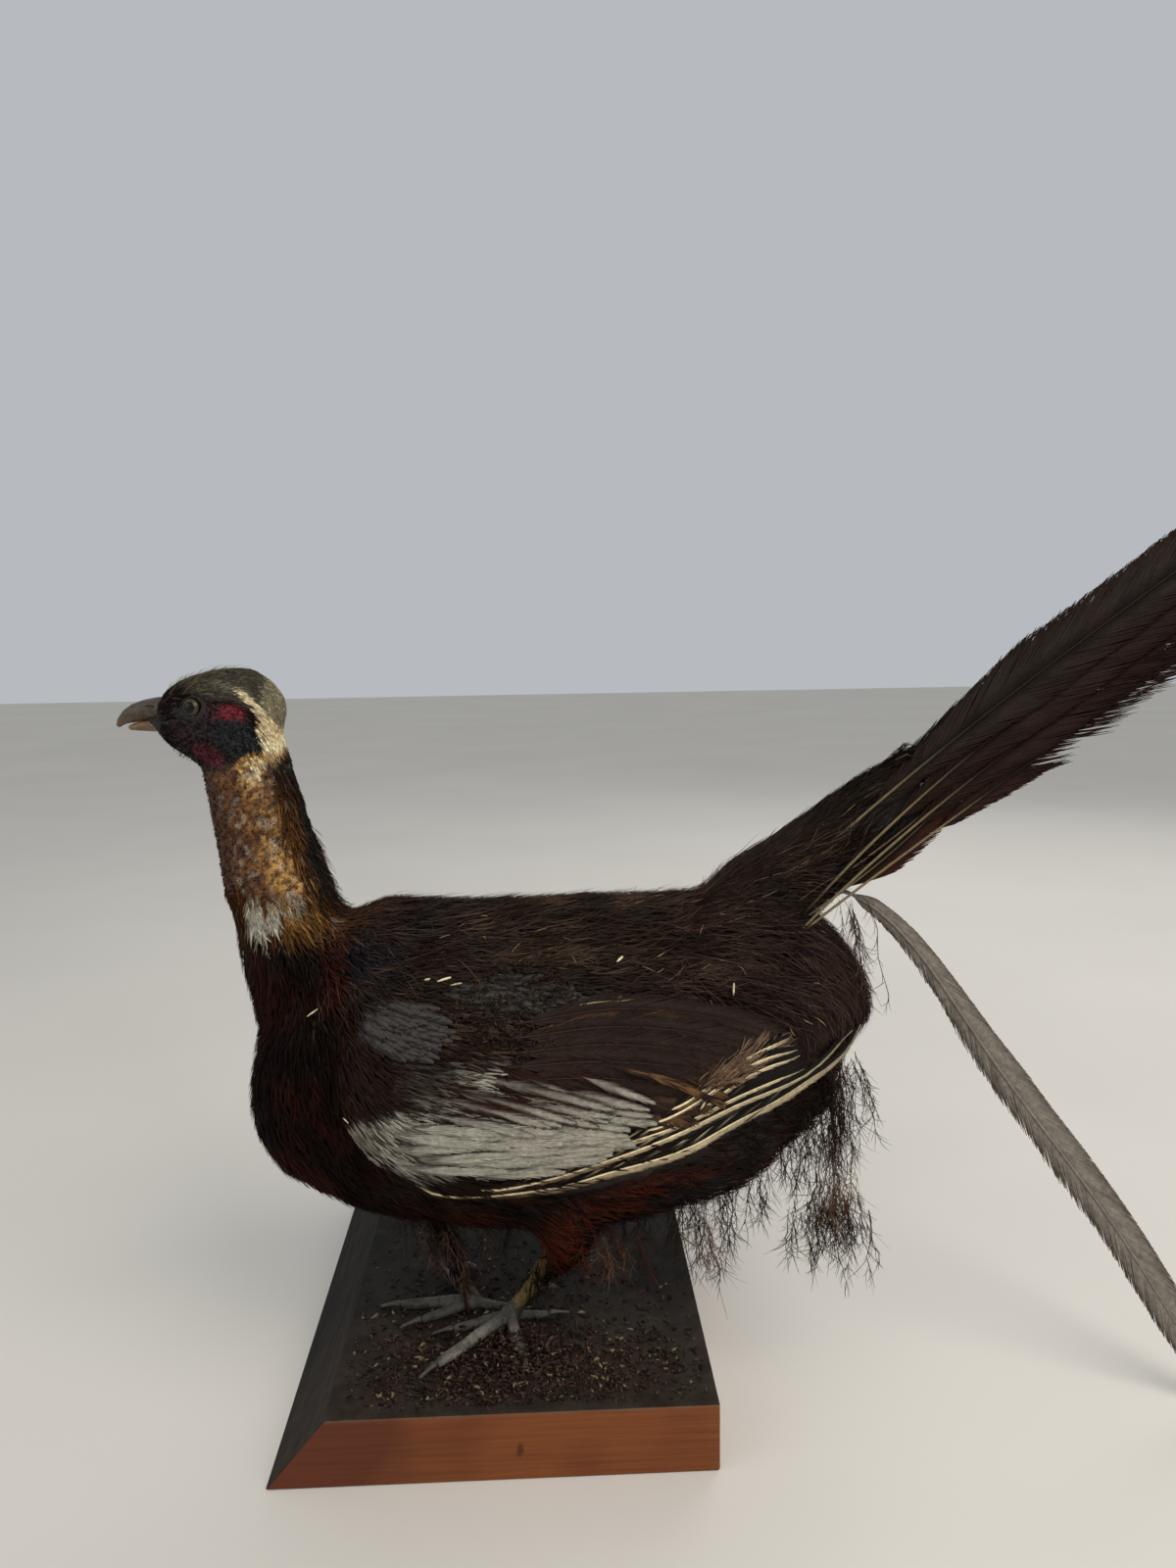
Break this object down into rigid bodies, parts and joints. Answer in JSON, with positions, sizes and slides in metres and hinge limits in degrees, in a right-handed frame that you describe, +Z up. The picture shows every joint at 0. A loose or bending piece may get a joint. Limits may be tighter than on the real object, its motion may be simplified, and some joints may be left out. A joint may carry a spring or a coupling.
{
  "type": "taxidermy pheasant",
  "caption": "Taxidermy cock pheasant standing on a mitred hardwood block, with folded wings, a long raised tail and a loose tail feather hanging to the ground.",
  "frame": {"origin": "centre of the block's underside, on the surface that the block stands on", "axes": "+Z up; the bird faces -X and its tail rises towards +X; its left side faces -Y, which is the block's front face"},
  "size_m": [0.6795, 0.262, 0.5302],
  "materials": {
    "wood": "varnished front face, dusty and gritty top",
    "face_skin": "dry dark crimson skin with a black cheek and a cream stripe",
    "bill_horn": "dull dry horn",
    "eye_glass": "dull glass with a black pupil",
    "neck_skin": "granular tan skin that has lost its feathers",
    "breast_plumage": "dark maroon feathers",
    "back_plumage": "dusty charcoal feathers",
    "rump_plumage": "loose black-brown fluff",
    "wing_coverts": "pale grey feathers with dark gaps",
    "wing_secondaries": "purplish brown feathers with buff streaks",
    "wing_primaries": "cream and buff quills with notched vanes",
    "tail_feathers": "dark brown feathers with worn edges",
    "loose_feather": "taupe underside with a ragged dark edge",
    "leg_scales": "dry yellow scales",
    "toe_scales": "dry grey scales",
    "claw_horn": "dull horn"
  },
  "bodies": {
    "root": {"base_board": "wood", "head": "face_skin", "neck": "neck_skin", "breast": "breast_plumage", "trunk": "back_plumage", "rump": "rump_plumage", "bill_upper": "bill_horn", "bill_lower": "bill_horn", "eye_left": "eye_glass", "eye_right": "eye_glass", "wing_left_coverts": "wing_coverts", "wing_left_secondaries": "wing_secondaries", "wing_left_primaries": "wing_primaries", "wing_right_coverts": "wing_coverts", "wing_right_secondaries": "wing_secondaries", "wing_right_primaries": "wing_primaries", "thigh_left": "breast_plumage", "tarsus_left": "leg_scales", "foot_left": "toe_scales", "claw_left_middle": "claw_horn", "claw_left_inner": "claw_horn", "claw_left_outer": "claw_horn", "claw_left_hind": "claw_horn", "spur_left": "claw_horn", "thigh_right": "breast_plumage", "tarsus_right": "leg_scales", "foot_right": "toe_scales", "claw_right_middle": "claw_horn", "claw_right_inner": "claw_horn", "claw_right_outer": "claw_horn", "claw_right_hind": "claw_horn", "spur_right": "claw_horn", "tail_coverts": "rump_plumage", "tail_feather_left_1": "tail_feathers", "tail_feather_left_2": "tail_feathers", "tail_feather_left_3": "tail_feathers", "tail_feather_left_4": "tail_feathers", "tail_feather_right_1": "tail_feathers", "tail_feather_right_2": "tail_feathers", "tail_feather_right_3": "tail_feathers", "tail_feather_right_4": "tail_feathers", "tail_feather_loose": "loose_feather"}
  },
  "joints": []
}
